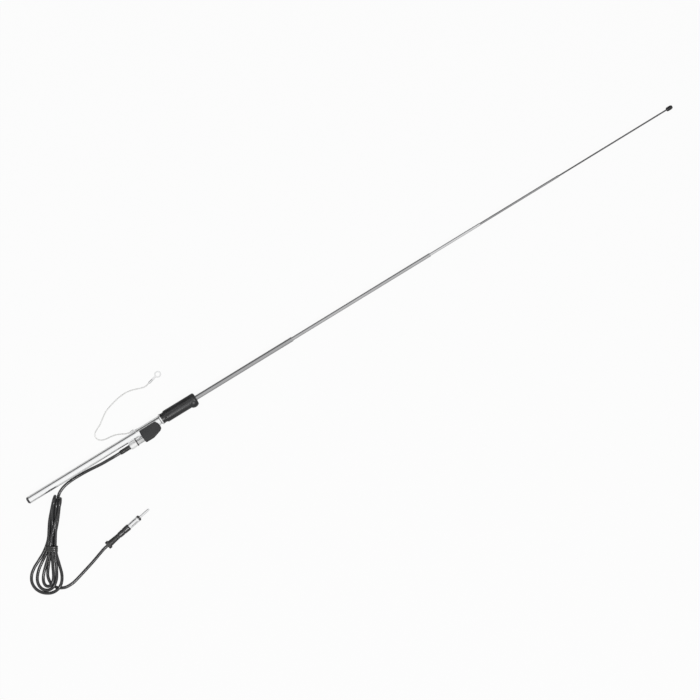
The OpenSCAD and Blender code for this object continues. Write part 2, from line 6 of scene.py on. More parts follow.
import bmesh
import bpy
from mathutils import Matrix, Vector

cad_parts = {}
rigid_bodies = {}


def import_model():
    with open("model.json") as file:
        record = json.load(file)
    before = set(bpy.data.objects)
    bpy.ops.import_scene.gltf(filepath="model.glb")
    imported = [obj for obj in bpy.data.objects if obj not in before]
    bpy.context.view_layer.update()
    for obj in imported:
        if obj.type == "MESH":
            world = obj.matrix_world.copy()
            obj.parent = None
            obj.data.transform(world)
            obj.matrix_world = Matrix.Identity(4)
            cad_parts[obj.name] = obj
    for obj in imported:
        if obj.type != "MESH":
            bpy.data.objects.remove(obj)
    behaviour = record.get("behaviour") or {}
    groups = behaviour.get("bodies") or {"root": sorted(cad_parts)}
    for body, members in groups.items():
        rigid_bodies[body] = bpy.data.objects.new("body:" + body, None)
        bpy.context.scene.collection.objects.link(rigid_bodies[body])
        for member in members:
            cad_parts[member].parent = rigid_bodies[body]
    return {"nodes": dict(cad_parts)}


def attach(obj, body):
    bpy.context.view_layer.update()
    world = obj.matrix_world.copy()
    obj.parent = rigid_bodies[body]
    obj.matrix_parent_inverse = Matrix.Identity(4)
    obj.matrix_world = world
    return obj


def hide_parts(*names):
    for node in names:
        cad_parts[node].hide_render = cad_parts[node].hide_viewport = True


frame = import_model()
bpy.context.view_layer.update()


def put(name, data):
    """Adds an object with this data to the scene."""
    made = bpy.data.objects.new(name, data)
    bpy.context.scene.collection.objects.link(made)
    return made


# Camera. The aerial lies flat and is seen from straight above, turned so that the mast runs
# from the lower left of the picture to its upper right, through a long lens.
MM = 0.001
VIEW_WIDTH = 910
VIEW_MIDDLE = (-31.1, -47.5, 8)
VIEW_TURN = -31.47
CAMERA_HEIGHT = 4000
FILM_WIDTH = 36
CLIP_METRES = (0.05, 50)

camera_data = bpy.data.cameras.new("camera")
camera_data.sensor_width = FILM_WIDTH
camera_data.lens = FILM_WIDTH * CAMERA_HEIGHT / VIEW_WIDTH
camera_data.clip_start, camera_data.clip_end = CLIP_METRES
camera = put("camera", camera_data)
camera.location = Vector(VIEW_MIDDLE) * MM + Vector((0, 0, CAMERA_HEIGHT * MM))
camera.rotation_euler = (0, 0, math.radians(VIEW_TURN))
bpy.context.scene.camera = camera

# Coaxial lead. One black sheathed lead, 4.1 mm thick, from the boot at the nut, folded three times
# into a flat hank, held by a tie, and on to the radio plug. Its end at the nut is 7 mm inside the boot.
LEAD_DIAMETER = 4.1
LEAD_SIDES = 20
LEAD_STEP = 1.2
LEAD_OFF_FLOOR = 0.03
LEAD_ROUTE = [
    (-348.6, -5.75, 8), (-356, -5.75, 8), (-363, -5.75, 7.9), (-373, -5.5, 7), (-384, -5.2, 5.4),
    (-395, -4.2, 4), (-405.5, -3.3, 3), (-416, -2.9, 2.4), (-427, -2.9, 2.2), (-438, -4, 2.1),
    (-446, -6.3, 2.1), (-452, -9.6, 2.1), (-456.5, -14.5, 2.1),
    (-458.6, -20.4, 2.1), (-464.1, -28.7, 2.1), (-472.9, -39.6, 2.1), (-482.1, -50, 2.1),
    (-490, -61.6, 2.1), (-495.8, -74.3, 2.1), (-499.6, -87.8, 2.1), (-503.6, -101.1, 3),
    (-508.8, -109.3, 5), (-513.3, -112.8, 6), (-518.8, -114.8, 5.6), (-524.4, -114.9, 4.2),
    (-529.9, -113.3, 2.8), (-537.8, -107.4, 2.1), (-542.3, -98.7, 2.1), (-542.1, -89.1, 2.1),
    (-537.2, -80.7, 2.1), (-529.4, -74.6, 2.1), (-520.5, -70.1, 2.1), (-508.1, -63.5, 2.1),
    (-497.2, -55, 2.1), (-488.2, -44.4, 2.1), (-479.2, -33.8, 2.1), (-469, -24.2, 2.1),
    (-461.6, -17.8, 3), (-459, -15.6, 4.9), (-457.2, -14.5, 8.1), (-457, -14.9, 11.9),
    (-458.4, -16.9, 14.9), (-460.7, -19.8, 16.1), (-463, -22.8, 15.5), (-465.3, -25.7, 13.9),
    (-468.5, -29.9, 11), (-473.5, -37.7, 7.2), (-479, -46, 6.1), (-484.6, -54.4, 6.1),
    (-492.1, -66.2, 6.1), (-499.1, -78.4, 5.6), (-505.3, -91, 4.7), (-512.9, -102.9, 5.5),
    (-520.7, -108.7, 6), (-526.2, -109.5, 4.9), (-531.4, -107.7, 3.5), (-535.1, -103.5, 2.5),
    (-536.4, -98, 2.1), (-535.4, -92.3, 2.1), (-532.6, -87.1, 2.1), (-525.8, -79.8, 2.1),
    (-517.6, -74, 2.4), (-506, -66.2, 4.4), (-496.3, -56.2, 6), (-488.4, -44.5, 6.2),
    (-480.2, -32.9, 6), (-470.8, -22.2, 5.3), (-461.2, -12.1, 5), (-458.5, -10.1, 7.1),
    (-457.2, -9.4, 10.6), (-457.5, -10.2, 14.4), (-459.3, -12.4, 17), (-461.8, -15.2, 17.8),
    (-464.3, -18.1, 17.1), (-466.7, -20.9, 15.6), (-470, -25.1, 12.7), (-475.2, -32.5, 8.4),
    (-480.7, -40.5, 6.4), (-486.2, -48.8, 6.2), (-493.6, -60.7, 6), (-500.8, -72.7, 5.3),
    (-507.3, -85.2, 5.7), (-513.7, -97.6, 7.2), (-517.3, -102.1, 7.5), (-520.4, -104.3, 7.3),
    (-523.8, -105.3, 6.6), (-526.9, -104.5, 5.5), (-528.8, -101.9, 4.3), (-529.1, -98.4, 3.4),
    (-528, -94.9, 2.8), (-526.1, -91.5, 2.7), (-522.3, -86.9, 3), (-515.1, -80, 4.5),
    (-504.8, -70.8, 7.2), (-495.5, -60.6, 9.7), (-486.4, -49.9, 10.2), (-476.1, -40.4, 10.8),
    (-465.4, -31.7, 13.8), (-456.8, -21.4, 18.2), (-454.5, -18.4, 17.4), (-453, -16.3, 14.5),
    (-452.8, -15.9, 10.7), (-454.1, -17.3, 7.3), (-456.4, -20.1, 5.8), (-459.1, -23, 6),
    (-462.1, -25.6, 6.2), (-469.8, -31.7, 5.1), (-477.1, -38.2, 2.8), (-486.3, -48.7, 2.1),
    (-494.7, -59.8, 2.1), (-503.1, -71, 2.1), (-512.2, -81.6, 2.1), (-520.1, -93, 2.1),
    (-521.8, -102.5, 2.1), (-520.3, -108.1, 2.1), (-517.1, -112.8, 2.1), (-508.6, -117.5, 2.1),
    (-498, -118, 2.1), (-490, -116.4, 2.1), (-475.5, -112.4, 2.2), (-460, -107.9, 2.8),
    (-447, -103.6, 3.8), (-439, -101.1, 4.4), (-428.2, -99.13, 4.5),
]


def eased(points, step, low):
    """Points in metres, a step apart on one smooth curve through these and none lower than low."""
    ps = [Vector(p) * MM for p in points]
    ps = [ps[0] * 2 - ps[1], *ps, ps[-1] * 2 - ps[-2]]
    dense = []
    for a, b, c, d in zip(ps, ps[1:], ps[2:], ps[3:]):
        ka, kb, kc = (max(math.sqrt((q - p).length), 1e-5) for p, q in ((a, b), (b, c), (c, d)))
        out = (b - a) / ka - (c - a) / (ka + kb) + (c - b) / kb
        into = (c - b) / kb - (d - b) / (kb + kc) + (d - c) / kc
        n = max(2, round((c - b).length / (step * MM)))
        for i in range(n):
            t = i / n
            dense.append(
                b * (2 * t**3 - 3 * t**2 + 1) + out * kb * (t**3 - 2 * t**2 + t)
                + c * (3 * t**2 - 2 * t**3) + into * kb * (t**3 - t**2)
            )
    for p in dense:
        p.z = max(p.z, low * MM)
    return [*dense, ps[-2]]


def run(points):
    return sum((q - p).length for p, q in zip(points, points[1:]))


def swept_tree():
    """Sweeps a lobed section along a curve: lobes of 0 gives a plain round cord."""
    tree = bpy.data.node_groups.new("swept_cord", "GeometryNodeTree")
    face = tree.interface
    face.new_socket("Line", in_out="INPUT", socket_type="NodeSocketGeometry")
    for name, kind in (
        ("Radius", "NodeSocketFloat"), ("Lobe Depth", "NodeSocketFloat"), ("Lobes", "NodeSocketFloat"),
        ("Sides", "NodeSocketInt"), ("Material", "NodeSocketMaterial"),
    ):
        face.new_socket(name, in_out="INPUT", socket_type=kind)
    face.new_socket("Cord", in_out="OUTPUT", socket_type="NodeSocketGeometry")

    def add(kind, **inputs):
        made = tree.nodes.new(kind)
        for key, value in inputs.items():
            socket = made.inputs[key.replace("_", " ")]
            if isinstance(value, bpy.types.NodeSocket):
                tree.links.new(value, socket)
            else:
                socket.default_value = value
        return made

    def sums(kind, a, b=None):
        made = add("ShaderNodeMath")
        made.operation = kind
        for socket, value in zip(made.inputs, (a, b)):
            if isinstance(value, bpy.types.NodeSocket):
                tree.links.new(value, socket)
            elif value is not None:
                socket.default_value = value
        return made.outputs[0]

    given = tree.nodes.new("NodeGroupInput").outputs
    circle = add("GeometryNodeCurvePrimitiveCircle", Resolution=given["Sides"], Radius=1.0)
    turn = sums("MULTIPLY", add("GeometryNodeSplineParameter").outputs["Factor"], 2 * math.pi)
    wave = sums("COSINE", sums("MULTIPLY", turn, given["Lobes"]))
    dent = sums("MULTIPLY", sums("SUBTRACT", 1.0, wave), given["Lobe Depth"])
    reach = sums("SUBTRACT", given["Radius"], dent)
    spot = add("ShaderNodeVectorMath")
    spot.operation = "SCALE"
    tree.links.new(add("GeometryNodeInputPosition").outputs[0], spot.inputs[0])
    tree.links.new(reach, spot.inputs["Scale"])
    section = add(
        "GeometryNodeSetPosition", Geometry=circle.outputs["Curve"], Position=spot.outputs[0]
    )
    skin = add(
        "GeometryNodeCurveToMesh", Curve=given["Line"], Profile_Curve=section.outputs[0], Fill_Caps=True
    )
    smooth = add("GeometryNodeSetShadeSmooth", Geometry=skin.outputs[0])
    real = add("GeometryNodeRealizeInstances", Geometry=smooth.outputs[0])
    cord = add("GeometryNodeSetMaterial", Geometry=real.outputs[0], Material=given["Material"])
    tree.links.new(cord.outputs[0], tree.nodes.new("NodeGroupOutput").inputs[0])
    return tree


SWEPT = swept_tree()


def grown(name, seed, tree, values):
    """Runs a tree on the seed object with the named inputs, and keeps its result as a plain mesh."""
    made = seed.modifiers.new("grow", "NODES")
    made.node_group = tree
    sockets = {s.name: s.identifier for s in tree.interface.items_tree if s.in_out == "INPUT"}
    for key, value in values.items():
        made[sockets[key]] = value
    bpy.context.view_layer.update()
    result = seed.evaluated_get(bpy.context.evaluated_depsgraph_get())
    mesh = bpy.data.meshes.new_from_object(result)
    bpy.data.objects.remove(seed)
    mesh.name = name
    return put(name, mesh)


def line(points, twist=0.0):
    """A curve of one open spline; twist is the turn of its section, in radians for each metre."""
    curve = bpy.data.curves.new("line", "CURVE")
    curve.dimensions = "3D"
    curve.twist_mode = "MINIMUM"
    spline = curve.splines.new("POLY")
    spline.points.add(len(points) - 1)
    gone = 0.0
    for i, p in enumerate(points):
        spline.points[i].co = (*p, 1)
        gone += (p - points[i - 1]).length if i else 0
        spline.points[i].tilt = twist * gone
    return put("line", curve)


class Wire:
    """A socket in a finish. Sums on wires and numbers add the Math nodes that work them out."""

    def __init__(self, finish, socket):
        self.finish, self.socket = finish, socket

    def maths(self, operation, *values):
        return self.finish.node("ShaderNodeMath", dict(operation=operation), *values)

    def __add__(self, other):
        return self.maths("ADD", self, other)

    def __rsub__(self, other):
        return self.maths("SUBTRACT", other, self)

    def __mul__(self, other):
        return self.maths("MULTIPLY", self, other)

    __radd__ = __add__
    __rmul__ = __mul__

    def between(self, low, high):
        """0 below low, 1 above high, and straight in between."""
        return self.finish.node("ShaderNodeMapRange", dict(clamp=True), self, low, high, 0.0, 1.0)

    def stretched(self, scale):
        """A vector times a scale for each axis: the more, the finer what is drawn with it."""
        return self.finish.node("ShaderNodeVectorMath", dict(operation="MULTIPLY"), self, scale)


NOISE_ROUGHNESS = 0.55
PATCH_RANGE = (0.35, 0.7)


class Finish:
    """The nodes of a material or a world. node() adds one: its settings first, then its sockets."""

    def __init__(self, owner):
        self.owner = owner
        owner.use_nodes = True
        self.tree = owner.node_tree
        self.tree.nodes.clear()

    def node(self, kind, settings=None, *values, out=0, **named):
        made = self.tree.nodes.new(kind)
        for key, value in (settings or {}).items():
            if key == "stops":
                ramp = made.color_ramp.elements
                for i, (place, colour) in enumerate(value):
                    stop = ramp[i] if i < 2 else ramp.new(place)
                    stop.position, stop.color = place, (*colour, 1)
            else:
                setattr(made, key, value)
        by_name = [(made.inputs[key.replace("_", " ")], value) for key, value in named.items()]
        for socket, value in [*zip(made.inputs, values), *by_name]:
            if isinstance(value, Wire):
                self.tree.links.new(value.socket, socket)
            elif value is not None:
                socket.default_value = value
        return Wire(self, made.outputs[out]) if len(made.outputs) else None

    def place(self, turn=0.0):
        """Object coordinates, turned about Z in degrees."""
        spot = self.node("ShaderNodeTexCoord", out="Object")
        back = (0, 0, math.radians(-turn))
        return self.node("ShaderNodeMapping", dict(vector_type="POINT"), Vector=spot, Rotation=back)

    def cloud(self, spot, count, detail=3.0):
        """Noise with this count of clouds to the metre."""
        return self.node(
            "ShaderNodeTexNoise", None,
            Vector=spot, Scale=count, Detail=detail, Roughness=NOISE_ROUGHNESS,
        )

    def blend(self, factor, low, high):
        """A mix of two colours. Inputs 6 and 7 and output 2 are the node's sockets for colours."""
        made = self.tree.nodes.new("ShaderNodeMix")
        made.data_type = "RGBA"
        self.tree.links.new(factor.socket, made.inputs[0])
        for socket, value in ((made.inputs[6], low), (made.inputs[7], high)):
            if isinstance(value, Wire):
                self.tree.links.new(value.socket, socket)
            else:
                socket.default_value = (*value, 1)
        return Wire(self, made.outputs[2])

    def relief(self, height, depth, strength):
        return self.node("ShaderNodeBump", None, Strength=strength, Distance=depth * MM, Height=height)

    def skin(self, **sockets):
        made = self.node("ShaderNodeBsdfPrincipled", None, **sockets)
        self.node("ShaderNodeOutputMaterial", None, made)
        return self.owner


BLACK_SHEATH = (0.013, 0.013, 0.014)
GREY_BLOOM = (0.028, 0.028, 0.029)
GRAINS_IN_CLOUD = 22


def sheath_finish(name, dark, bloom, shine, count, gloss):
    """Soft plastic sheath: glossy where it was drawn, duller in cloudy patches, with faint waves."""
    f = Finish(bpy.data.materials.new(name))
    spot = f.place()
    patches = f.cloud(spot, count).between(*PATCH_RANGE)
    fine = f.cloud(spot, count * GRAINS_IN_CLOUD, 4.0)
    return f.skin(
        Base_Color=f.blend(patches * 0.7, dark, bloom),
        Roughness=shine + patches * 0.12 + fine * 0.06,
        Specular_IOR_Level=0.1,
        Coat_Weight=gloss - patches * gloss * 0.6,
        Coat_Roughness=0.2,
        Normal=f.relief(fine * 0.4 + patches * 2.0, 0.01, 0.15),
    )


SHEATH = sheath_finish("lead_sheath", BLACK_SHEATH, GREY_BLOOM, 0.22, 55, 0.85)
lead_points = eased(LEAD_ROUTE, LEAD_STEP, LEAD_DIAMETER / 2 + LEAD_OFF_FLOOR)
lead = grown(
    "lead", line(lead_points), SWEPT,
    {
        "Radius": LEAD_DIAMETER / 2 * MM, "Lobes": 0.0, "Lobe Depth": 0.0,
        "Sides": LEAD_SIDES, "Material": SHEATH,
    },
)
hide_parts("coax_lead", "coax_hank", "coax_tail")
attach(lead, "case")

# Earth wire. Bare tinned strands, twisted, 1.5 mm over all: from the barrel of the tag on the sleeve it
# turns back under its own weight, lies in one loose bow and ends in the ring terminal.
WIRE_DIAMETER = 1.5
WIRE_STRANDS = 7
WIRE_SIDES = 42
WIRE_STEP = 0.7
WIRE_OFF_FLOOR = 0.02
WIRE_LAY = 11
STRAND_GROOVE = 0.03
WIRE_ROUTE = [
    (-326.8, 10.35, 8), (-331.2, 10.35, 8), (-337, 12, 6.9), (-343, 15, 4.6), (-350, 17.7, 2.5),
    (-356, 18.8, 1.4), (-362, 19.4, 1), (-368, 21, 0.9), (-372, 24.5, 0.9), (-373.2, 29, 0.9),
    (-371.4, 33, 0.9), (-366.5, 36.2, 0.9), (-360, 39.2, 0.9), (-352, 45, 0.9), (-343.4, 50.4, 0.9),
    (-332, 54.2, 0.9), (-321, 56.6, 0.9), (-308, 57.4, 0.9), (-297, 55, 0.9), (-289.5, 52.3, 1.1),
    (-284.5, 51.1, 1.4), (-280.88, 51.43, 1.5), (-277.97, 52.16, 1.5), (-272.73, 53.46, 1.5),
]
STRAND_LIGHT = (0.95, 0.95, 0.94)
STRAND_DULL = (0.84, 0.84, 0.82)
POLISHED = []


def strand_finish():
    """Tinned copper strands: light grey, dulled in patches by the air."""
    f = Finish(bpy.data.materials.new("earth_strands"))
    POLISHED.append(f.owner)
    spot = f.place()
    dull = f.cloud(spot, 140).between(0.4, 0.7)
    fine = f.cloud(spot, 2600, 2.0)
    return f.skin(
        Base_Color=f.blend(dull, STRAND_LIGHT, STRAND_DULL),
        Metallic=1.0,
        Roughness=0.3 + dull * 0.16 + fine * 0.05,
        Normal=f.relief(fine, 0.005, 0.3),
    )


STRANDS = strand_finish()
wire_points = eased(WIRE_ROUTE, WIRE_STEP, WIRE_DIAMETER / 2 + WIRE_OFF_FLOOR)
earth = grown(
    "earth_lead", line(wire_points, 2 * math.pi / (WIRE_LAY * MM)), SWEPT,
    {
        "Radius": WIRE_DIAMETER / 2 * MM, "Lobes": float(WIRE_STRANDS),
        "Lobe Depth": STRAND_GROOVE * MM, "Sides": WIRE_SIDES, "Material": STRANDS,
    },
)
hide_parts("earth_wire")
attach(earth, "case")

# Case. A chromed steel tube with a moulded black plug in its lower end and a plastic liner inside,
# which keeps the live mast off the earthed tube. The plug has a hole through which rain drains.
HALF_LENGTH = 491.5
AXIS_Y = 3.95
AXIS_Z = 8
CASE_RADIUS = 4.8
CASE_BORE = 4.0
CASE_TOP = 180
PLUG_DOME = 3
ROUND_STEPS = 4
SHARP_ANGLE = 35


def softened(outline):
    """An outline of (along, out) or (along, out, round) points with its corners rounded."""
    done = []
    for i, corner in enumerate(outline):
        here = Vector(corner[:2])
        if len(corner) < 3:
            done.append(here)
            continue
        back, on = Vector(outline[i - 1][:2]), Vector(outline[(i + 1) % len(outline)][:2])
        reach = min(corner[2], (back - here).length * 0.49, (on - here).length * 0.49)
        start = here + (back - here).normalized() * reach
        end = here + (on - here).normalized() * reach
        for k in range(ROUND_STEPS + 1):
            t = k / ROUND_STEPS
            done.append(start * (1 - t) ** 2 + here * 2 * t * (1 - t) + end * t**2)
    return done


def keep(bm, name, material):
    """Closes a mesh under construction: normals outwards, smooth with sharp corners, one material."""
    bmesh.ops.remove_doubles(bm, verts=bm.verts, dist=1e-7)
    bmesh.ops.recalc_face_normals(bm, faces=bm.faces)
    mesh = bpy.data.meshes.new(name)
    bm.to_mesh(mesh)
    bm.free()
    mesh.shade_smooth()
    mesh.set_sharp_from_angle(angle=math.radians(SHARP_ANGLE))
    mesh.materials.append(material)
    return put(name, mesh)


def turned(
    name, outline, material,
    at=(-HALF_LENGTH, AXIS_Y, AXIS_Z), turn=0.0, dip=0.0, sides=72, flutes=None,
):
    """A piece made in a lathe: the outline of its half section goes round an axis along X.
    flutes is (how many, depth, from, to): scallops that run along it between two places."""
    bm = bmesh.new()
    rings = []
    for x, r in softened(outline):
        if r < 1e-6:
            rings.append([bm.verts.new((x, 0, 0))])
            continue
        ring = []
        for k in range(sides):
            a = 2 * math.pi * k / sides
            cut = 0
            if flutes and flutes[2] <= x <= flutes[3]:
                cut = flutes[1] * (0.5 - 0.5 * math.cos(a * flutes[0]))
            ring.append(bm.verts.new((x, (r - cut) * math.cos(a), (r - cut) * math.sin(a))))
        rings.append(ring)
    closed = len(rings[0]) > 1 and len(rings[-1]) > 1
    for low, high in zip(rings, rings[1:] + ([rings[0]] if closed else [])):
        for k in range(sides):
            corners = [
                low[k % len(low)], low[(k + 1) % len(low)],
                high[(k + 1) % len(high)], high[k % len(high)],
            ]
            corners = list(dict.fromkeys(corners))
            if len(corners) > 2:
                bm.faces.new(corners)
    aim = Matrix.Rotation(math.radians(turn), 4, "Z") @ Matrix.Rotation(math.radians(dip), 4, "Y")
    bm.transform(Matrix.Scale(MM, 4) @ Matrix.Translation(at) @ aim)
    return keep(bm, name, material)


POLISHED_BELOW = 0.35
DRAWN = (18, 1100, 1100)
TURNED = (2600, 30, 30)
SEAM_SHADE_PAINT = (0.1, 0.1, 0.1)
SEAM_SHADE_SHARE = 0.8
SEAM_SHADE_EDGE = 0.4


def plated(name, bright, dim, shine, turn=0.0, grain=DRAWN, depth=0.002, joint=None):
    """Plated metal: fine drawing or turning lines, cloudy wear and a few duller spots. From the place
    joint on, in millimetres along X from the aerial's lower end, a dark band is painted in: painted
    shade standing in for the shade in the seam there."""
    f = Finish(bpy.data.materials.new(name))
    if shine < POLISHED_BELOW:
        POLISHED.append(f.owner)
    spot = f.place(turn)
    lines = f.cloud(spot.stretched(grain), 1.0, 2.0)
    clouds = f.cloud(spot, 38, 4.0).between(0.4, 0.75)
    specks = f.cloud(spot, 700, 2.0).between(0.7, 0.8)
    tone = f.blend(clouds * 0.35 + specks * 0.25, bright, dim)
    if joint:
        along = f.node("ShaderNodeSeparateXYZ", None, spot, out="X")
        start = (joint - HALF_LENGTH) * MM
        # painted shade: from the place joint on, the tone turns dark to stand in for the shade in the
        # seam
        tone = f.blend(along.between(start, start + SEAM_SHADE_EDGE * MM) * SEAM_SHADE_SHARE, tone, SEAM_SHADE_PAINT)
    return f.skin(
        Base_Color=tone,
        Metallic=1.0,
        Roughness=shine + lines * 0.05 + clouds * 0.06 + specks * 0.1,
        Normal=f.relief(lines, depth, 0.2),
    )


def moulded(name, dark, light, shine, grain=1500, depth=0.012, turn=0.0):
    """Moulded black plastic: fine spark-eroded grain, slightly greyed by light in soft patches."""
    f = Finish(bpy.data.materials.new(name))
    spot = f.place(turn)
    patches = f.cloud(spot, 60, 3.0).between(*PATCH_RANGE)
    fine = f.cloud(spot, grain, 3.0)
    return f.skin(
        Base_Color=f.blend(patches * 0.8 + fine * 0.2, dark, light),
        Roughness=shine + fine * 0.14 + patches * 0.06,
        Specular_IOR_Level=0.3,
        Normal=f.relief(fine, depth, 0.6),
    )


CHROME = plated("case_chrome_plate", (0.97, 0.975, 0.98), (0.86, 0.865, 0.87), 0.14)
END_BLACK = moulded("end_plug_plastic", (0.03, 0.03, 0.032), (0.055, 0.055, 0.057), 0.4)
case = turned(
    "case_tube_plated",
    [
        (PLUG_DOME, CASE_BORE, 0.15), (PLUG_DOME, CASE_RADIUS, 0.5), (CASE_TOP, CASE_RADIUS, 0.2),
        (CASE_TOP, CASE_BORE, 0.1),
    ],
    CHROME,
)
end_plug = turned(
    "end_plug_moulded",
    [
        (0, 1.25, 0.3), (0, 2.3, 0.5), (0.6, 3.8, 0.6), (1.8, 4.6, 0.7), (PLUG_DOME - 0.02, 4.8, 0.3),
        (PLUG_DOME - 0.02, 3.95), (8.5, 3.95, 0.4), (8.5, 1.25, 0.2),
    ],
    END_BLACK,
)
for piece, node, slot in ((case, "case_tube", "case_chrome"), (end_plug, "end_plug", "black_plastic")):
    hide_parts(node)
    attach(piece, "case")


def coat(node, material):
    """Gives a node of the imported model, whose shape stays, its material."""
    for place in frame["nodes"][node].material_slots:
        place.material = material


def milky(name, tone, warm):
    """Natural plastic: milky, slightly yellowed in patches."""
    f = Finish(bpy.data.materials.new(name))
    spot = f.place()
    patches = f.cloud(spot, 90).between(*PATCH_RANGE)
    return f.skin(
        Base_Color=f.blend(patches, tone, warm),
        Roughness=0.42 + patches * 0.1,
        Normal=f.relief(f.cloud(spot, 1200), 0.01, 0.4),
    )


NATURAL = milky("natural_plastic_liner", (0.82, 0.81, 0.76), (0.76, 0.73, 0.64))
coat("liner", NATURAL)
coat("feed_bead", NATURAL)

# Upper sleeve and washer. A chromed sleeve, pressed over the top of the case tube, and a turned washer
# on which the insulator seats. A thin dark line is painted on the sleeve where they meet: painted shade
# in the seam.
SLEEVE_JOINT = 201.9
# the sleeve's end at the washer carries the painted seam shade
SLEEVE = plated(
    "sleeve_chrome_plate", (0.96, 0.965, 0.97), (0.86, 0.865, 0.87), 0.13, joint=SLEEVE_JOINT
)
sleeve = turned(
    "upper_sleeve_plated",
    [
        (167, 4.85, 0.1), (167, 5.3, 0.3), (168, 5.8, 0.5), (202.98, 5.8, 0.3),
        (202.98, 4.85, 0.1),
    ],
    SLEEVE,
)
WASHER = plated(
    "washer_plate", (0.96, 0.965, 0.97), (0.88, 0.885, 0.89), 0.3, grain=TURNED, depth=0.006
)
washer = turned(
    "seat_washer_turned",
    [
        (203.02, 4.87, 0.1), (203.02, 7.0, 0.2), (203.4, 7.4, 0.3), (204.7, 7.4, 0.2),
        (204.98, 7.1, 0.1), (204.98, 4.87, 0.1),
    ],
    WASHER,
)
for piece, node, slot in (
    (sleeve, "upper_sleeve", "case_chrome"), (washer, "seat_washer", "case_chrome"),
):
    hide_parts(node)
    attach(piece, "case")

# Insulator. Black moulded plastic between the earthed sleeve and the live mast: a spigot with a groove
# and a square notch that stops it turning, a barrel, and a lip on one side over the panel.
EDGE_SEGMENTS = 3


def eased_copy(name, node, material, edge, sharp=28, highlight_edges=None):
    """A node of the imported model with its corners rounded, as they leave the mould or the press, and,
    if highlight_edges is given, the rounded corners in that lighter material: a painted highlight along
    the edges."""
    bm = bmesh.new()
    bm.from_mesh(frame["nodes"][node].data)
    bmesh.ops.remove_doubles(bm, verts=bm.verts, dist=1e-6)
    bmesh.ops.dissolve_limit(bm, angle_limit=math.radians(0.5), verts=bm.verts, edges=bm.edges)
    clean = bpy.data.meshes.new(name)
    bm.to_mesh(clean)
    bm.free()
    clean.shade_smooth()
    clean.set_sharp_from_angle(angle=math.radians(sharp))
    clean.materials.append(material)
    if highlight_edges:
        clean.materials.append(highlight_edges)
    piece = put(name, clean)
    bevel = piece.modifiers.new("edges", "BEVEL")
    bevel.width = edge * MM
    bevel.segments = EDGE_SEGMENTS
    bevel.limit_method = "ANGLE"
    bevel.angle_limit = math.radians(sharp)
    bevel.use_clamp_overlap = True
    bevel.harden_normals = True
    # the bevel's faces take the second material, the painted edge highlight
    bevel.material = 1 if highlight_edges else -1
    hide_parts(node)
    return piece


INSULATOR_BLACK = moulded("insulator_plastic", (0.011, 0.011, 0.012), (0.024, 0.024, 0.025), 0.28)
# a lighter black for the insulator's rounded edges: a painted highlight along them
EDGE_HIGHLIGHT_BLACK = moulded(
    "painted_highlight_plastic_edge", (0.05, 0.05, 0.051), (0.11, 0.11, 0.112), 0.24, depth=0.004
)
insulator = eased_copy("insulator_moulded", "insulator", INSULATOR_BLACK, 0.28, highlight_edges=EDGE_HIGHLIGHT_BLACK)
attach(insulator, "case")

# Contact parts. A brass tube inside the insulator touches the lowest section's shoe all the way up;
# the lead's core reaches it through a bent brass pin.
BRIGHT_BRASS = (0.83, 0.62, 0.3)
TARNISH = (0.5, 0.35, 0.17)


def brass_finish(name):
    """Turned brass, a little tarnished."""
    f = Finish(bpy.data.materials.new(name))
    spot = f.place()
    dim = f.cloud(spot, 120, 4.0).between(0.35, 0.75)
    lines = f.cloud(spot.stretched((4000, 60, 60)), 1.0, 2.0)
    return f.skin(
        Base_Color=f.blend(dim, BRIGHT_BRASS, TARNISH),
        Metallic=1.0,
        Roughness=0.22 + dim * 0.2 + lines * 0.06,
        Normal=f.relief(lines, 0.008, 0.4),
    )


BRASS = brass_finish("turned_brass")
for node in ("contact_tube", "feed_pin", "shoe_1", "shoe_2", "shoe_3", "shoe_4", "shoe_5"):
    coat(node, BRASS)

# Feed socket and nut. A nickelled block that is brazed on the sleeve, with a round neck; the lead's
# nut screws on its stub against a dark ring, and a rubber boot keeps rain off the joint.
FEED_AT = (-HALF_LENGTH, -5.75, AXIS_Z)
NUT_FLUTES = 24
FLUTE_DEPTH = 0.16
NICKEL = plated("socket_nickel", (0.68, 0.68, 0.68), (0.2, 0.2, 0.2), 0.2)
socket = eased_copy("feed_socket_plated", "feed_socket", NICKEL, 0.2)
ALUMINIUM = plated(
    "nut_aluminium", (0.98, 0.98, 0.98), (0.93, 0.93, 0.935), 0.34, grain=TURNED, depth=0.005
)
nut = turned(
    "union_nut_knurled",
    [
        (151, 3.25, 0.2), (151, 3.6, 0.2), (151.9, 4.5, 0.4), (152.6, 4.5), (153, 4.5),
        (158.4, 4.5), (158.8, 4.5), (159.4, 4.2, 0.2), (160.0, 4.2, 0.2), (160.3, 4.48, 0.1),
        (160.98, 4.48, 0.2), (160.98, 3.05, 0.1), (154.95, 3.05), (154.95, 2.2), (154.2, 2.2),
        (154.2, 3.25),
    ],
    ALUMINIUM, at=FEED_AT, sides=NUT_FLUTES * 6, flutes=(NUT_FLUTES, FLUTE_DEPTH, 152.9, 158.5),
)
RUBBER = moulded(
    "boot_rubber", (0.018, 0.018, 0.018), (0.034, 0.034, 0.034), 0.28, grain=900, depth=0.02
)
gasket = turned(
    "ring_gasket_moulded",
    [(161.02, 3.05, 0.2), (161.02, 4.65, 0.4), (162.38, 4.65, 0.4), (162.38, 3.05, 0.2)],
    RUBBER, at=FEED_AT,
)
BOOT_GROOVES = [139.6 + 2.2 * k for k in range(5)]
boot_top = [(135.5, 2.12, 0.1), (135.5, 2.55, 0.25), (138.1, 3.1, 0.6)]
for x in BOOT_GROOVES:
    boot_top += [
        (x - 0.55, 3.15, 0.15), (x - 0.3, 2.85, 0.15), (x + 0.3, 2.85, 0.15), (x + 0.55, 3.15, 0.15),
    ]
